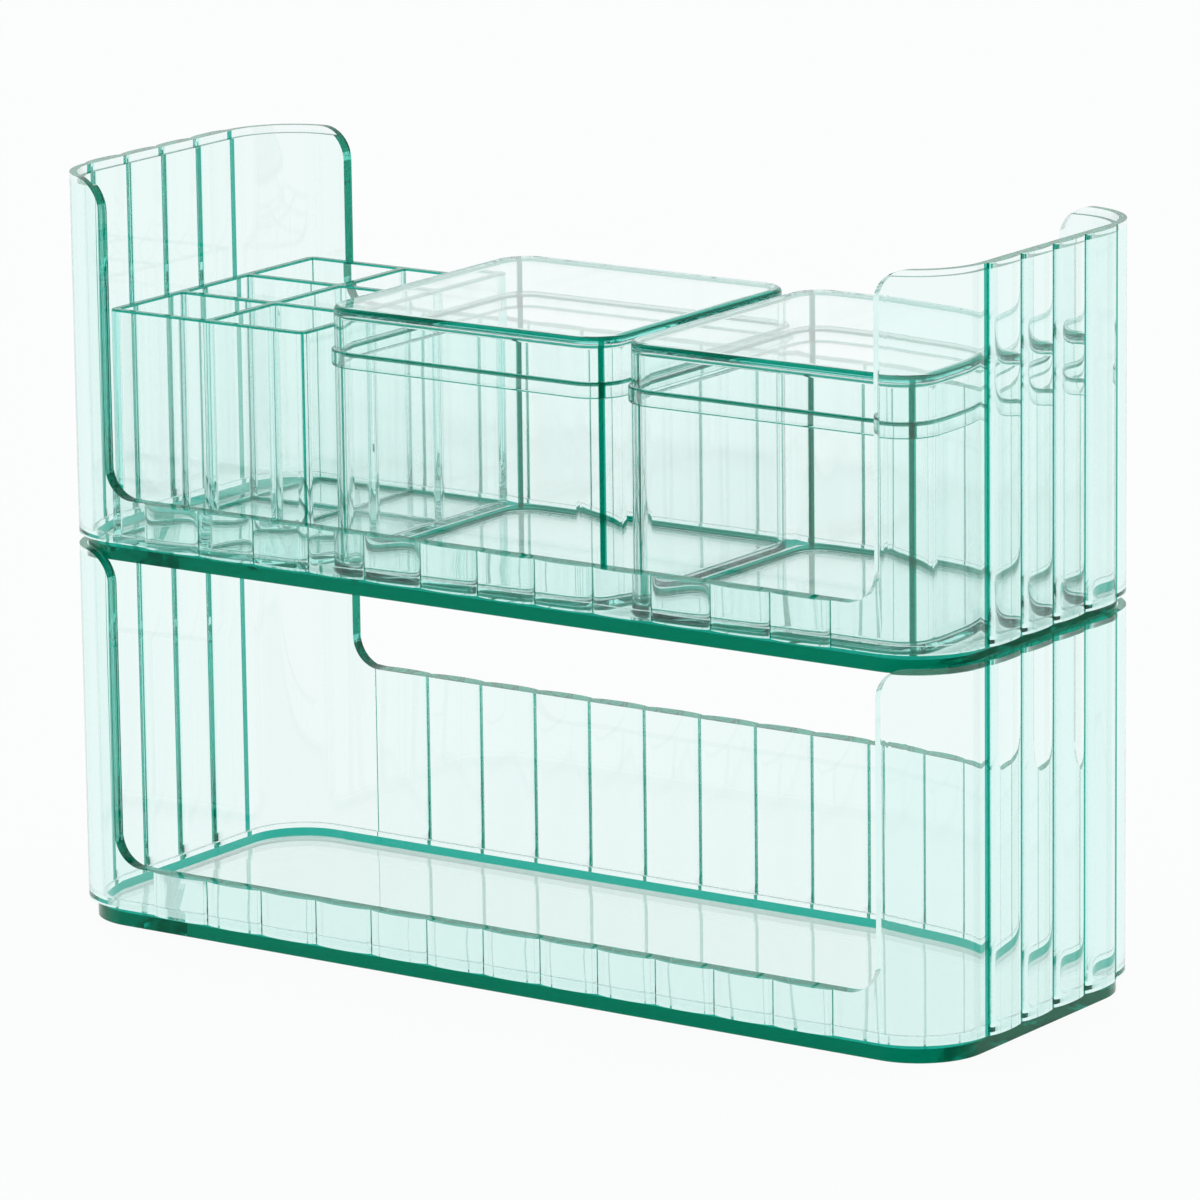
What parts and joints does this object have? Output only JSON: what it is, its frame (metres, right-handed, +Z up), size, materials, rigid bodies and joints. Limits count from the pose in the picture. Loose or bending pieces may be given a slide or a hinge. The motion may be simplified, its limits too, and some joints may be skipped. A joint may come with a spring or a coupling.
{
  "type": "vanity organizer",
  "caption": "Clear stacking vanity organizer: fluted open-fronted trays with a divided caddy and lidded boxes standing in the upper tray.",
  "frame": {"origin": "centre of the lower tray's foot, on the surface it stands on", "axes": "+Z up, +X along the long side to the right as seen from the front, the open front towards -Y"},
  "size_m": [0.263, 0.097, 0.1867],
  "materials": {
    "tray_plastic": "clear, pale green tint, polished",
    "caddy_plastic": "clear, pale green tint, polished",
    "box_plastic": "clear, pale green tint, polished",
    "lid_plastic": "clear, pale green tint, polished"
  },
  "bodies": {
    "lower_tray": {"lower_tray": "tray_plastic"},
    "upper_tray": {"upper_tray": "tray_plastic"},
    "caddy": {"caddy": "caddy_plastic"},
    "left_box": {"left_box": "box_plastic"},
    "left_lid": {"left_lid": "lid_plastic"},
    "right_box": {"right_box": "box_plastic"},
    "right_lid": {"right_lid": "lid_plastic"}
  },
  "joints": [
    {"name": "upper_tray_lift", "type": "slide", "parent": "lower_tray", "child": "upper_tray", "axis": [0, 0, 1], "range_m": [0, 0.03]},
    {"name": "caddy_lift", "type": "slide", "parent": "upper_tray", "child": "caddy", "axis": [0, 0, 1], "range_m": [0, 0.1]},
    {"name": "left_box_lift", "type": "slide", "parent": "upper_tray", "child": "left_box", "axis": [0, 0, 1], "range_m": [0, 0.1]},
    {"name": "left_lid_lift", "type": "slide", "parent": "left_box", "child": "left_lid", "axis": [0, 0, 1], "range_m": [0, 0.03]},
    {"name": "right_box_lift", "type": "slide", "parent": "upper_tray", "child": "right_box", "axis": [0, 0, 1], "range_m": [0, 0.1]},
    {"name": "right_lid_lift", "type": "slide", "parent": "right_box", "child": "right_lid", "axis": [0, 0, 1], "range_m": [0, 0.03]}
  ]
}
